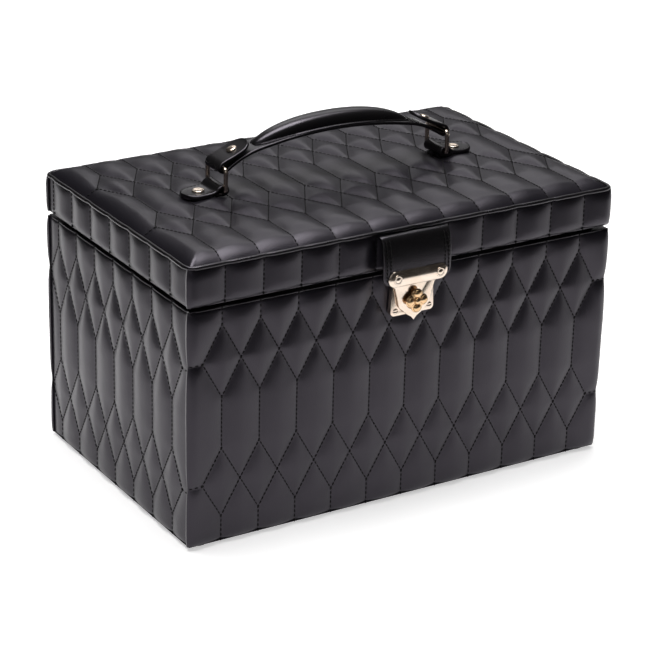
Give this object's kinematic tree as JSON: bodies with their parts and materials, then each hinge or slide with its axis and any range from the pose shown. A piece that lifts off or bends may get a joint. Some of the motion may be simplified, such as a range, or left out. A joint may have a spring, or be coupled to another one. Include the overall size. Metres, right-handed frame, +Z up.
{
  "type": "jewellery case",
  "caption": "Rectangular quilted leather jewellery case with padded hinged lid, hasp closure with turn knob, carrying handle on rings, mirror and lift-out tray.",
  "frame": {"origin": "middle of the overall footprint, closure and hinges included, on the surface that the feet stand on", "axes": "+X along the case's length to the right as seen from the closure, -Y towards the closure, +Z up"},
  "size_m": [0.33, 0.2246, 0.2476],
  "materials": {
    "quilted_leather": "black satin leather, padded and stitched in a long diamond lattice",
    "smooth_leather": "black satin leather, flat, with edge paint and matching thread",
    "fibreboard": "covered fibreboard",
    "suede_lining": "warm grey suede cloth",
    "gold_metal": "polished pale gold plating",
    "mirror_glass": "clear mirror",
    "foot_pad": "matt black pad"
  },
  "bodies": {
    "case": {"bottom_cover": "smooth_leather", "base_board": "fibreboard", "floor_lining": "suede_lining", "front_cover": "quilted_leather", "back_cover": "quilted_leather", "left_cover": "quilted_leather", "right_cover": "quilted_leather", "front_board": "fibreboard", "back_board": "fibreboard", "left_board": "fibreboard", "right_board": "fibreboard", "front_lining": "suede_lining", "back_lining": "suede_lining", "left_lining": "suede_lining", "right_lining": "suede_lining", "case_rim_binding": "smooth_leather", "feet": "foot_pad", "tray_rails": "suede_lining", "lower_dividers": "suede_lining", "case_hinge_leaves": "gold_metal", "hinge_pins": "gold_metal", "case_hinge_screws": "gold_metal", "lock_plate": "gold_metal", "lock_plate_screws": "gold_metal"},
    "lid": {"lid_front_cover": "quilted_leather", "lid_back_cover": "quilted_leather", "lid_left_cover": "quilted_leather", "lid_right_cover": "quilted_leather", "lid_front_board": "fibreboard", "lid_back_board": "fibreboard", "lid_left_board": "fibreboard", "lid_right_board": "fibreboard", "lid_top_board": "fibreboard", "lid_rim_binding": "smooth_leather", "lid_piping": "smooth_leather", "lid_cushion": "quilted_leather", "mirror_frame": "suede_lining", "mirror": "mirror_glass", "lid_hinge_leaves": "gold_metal", "lid_hinge_screws": "gold_metal", "left_anchor_tab": "smooth_leather", "right_anchor_tab": "smooth_leather", "anchor_rivets": "gold_metal"},
    "closure": {"closure_strap": "smooth_leather", "hasp_flap": "gold_metal", "hasp_bar": "gold_metal", "hasp_rivets": "gold_metal"},
    "knob": {"turn_knob": "gold_metal", "knob_cam": "gold_metal"},
    "tray": {"tray_floor": "suede_lining", "tray_long_walls": "suede_lining", "tray_end_walls": "suede_lining", "tray_dividers": "suede_lining", "ring_rolls": "suede_lining", "tray_tabs": "suede_lining"},
    "ring_left": {"left_ring": "gold_metal"},
    "ring_right": {"right_ring": "gold_metal"},
    "handle": {"handle_strap": "smooth_leather", "handle_grip": "smooth_leather", "handle_rivets": "gold_metal"}
  },
  "joints": [
    {"name": "lid_hinge", "type": "hinge", "parent": "case", "child": "lid", "pos_m": [0, 0.1098, 0.1686], "axis": [-1, 0, 0], "range_deg": [0, 100]},
    {"name": "closure_swing", "type": "hinge", "parent": "lid", "child": "closure", "pos_m": [0, -0.1019, 0.1936], "axis": [-1, 0, 0], "range_deg": [0, 80]},
    {"name": "knob_turn", "type": "hinge", "parent": "closure", "child": "knob", "pos_m": [0, -0.1078, 0.1485], "axis": [0, -1, 0], "range_deg": [0, 90]},
    {"name": "handle_swing", "type": "hinge", "parent": "lid", "child": "ring_left", "pos_m": [-0.088, 0.0037, 0.2071], "axis": [0, 1, 0], "range_deg": [-45, 45]},
    {"name": "handle_left_eye", "type": "hinge", "parent": "ring_left", "child": "handle", "pos_m": [-0.088, 0.0037, 0.2221], "axis": [0, 1, 0], "range_deg": [-45, 45]},
    {"name": "right_ring_swing", "type": "hinge", "parent": "lid", "child": "ring_right", "pos_m": [0.088, 0.0037, 0.2071], "axis": [0, 1, 0], "range_deg": [-45, 45]},
    {"name": "tray_lift", "type": "slide", "parent": "case", "child": "tray", "axis": [0, 0, 1], "range_m": [0, 0.014]}
  ],
  "couplings": [
    {"joint": "handle_left_eye", "follows": "handle_swing", "ratio": -1},
    {"joint": "right_ring_swing", "follows": "handle_swing", "ratio": 1}
  ]
}
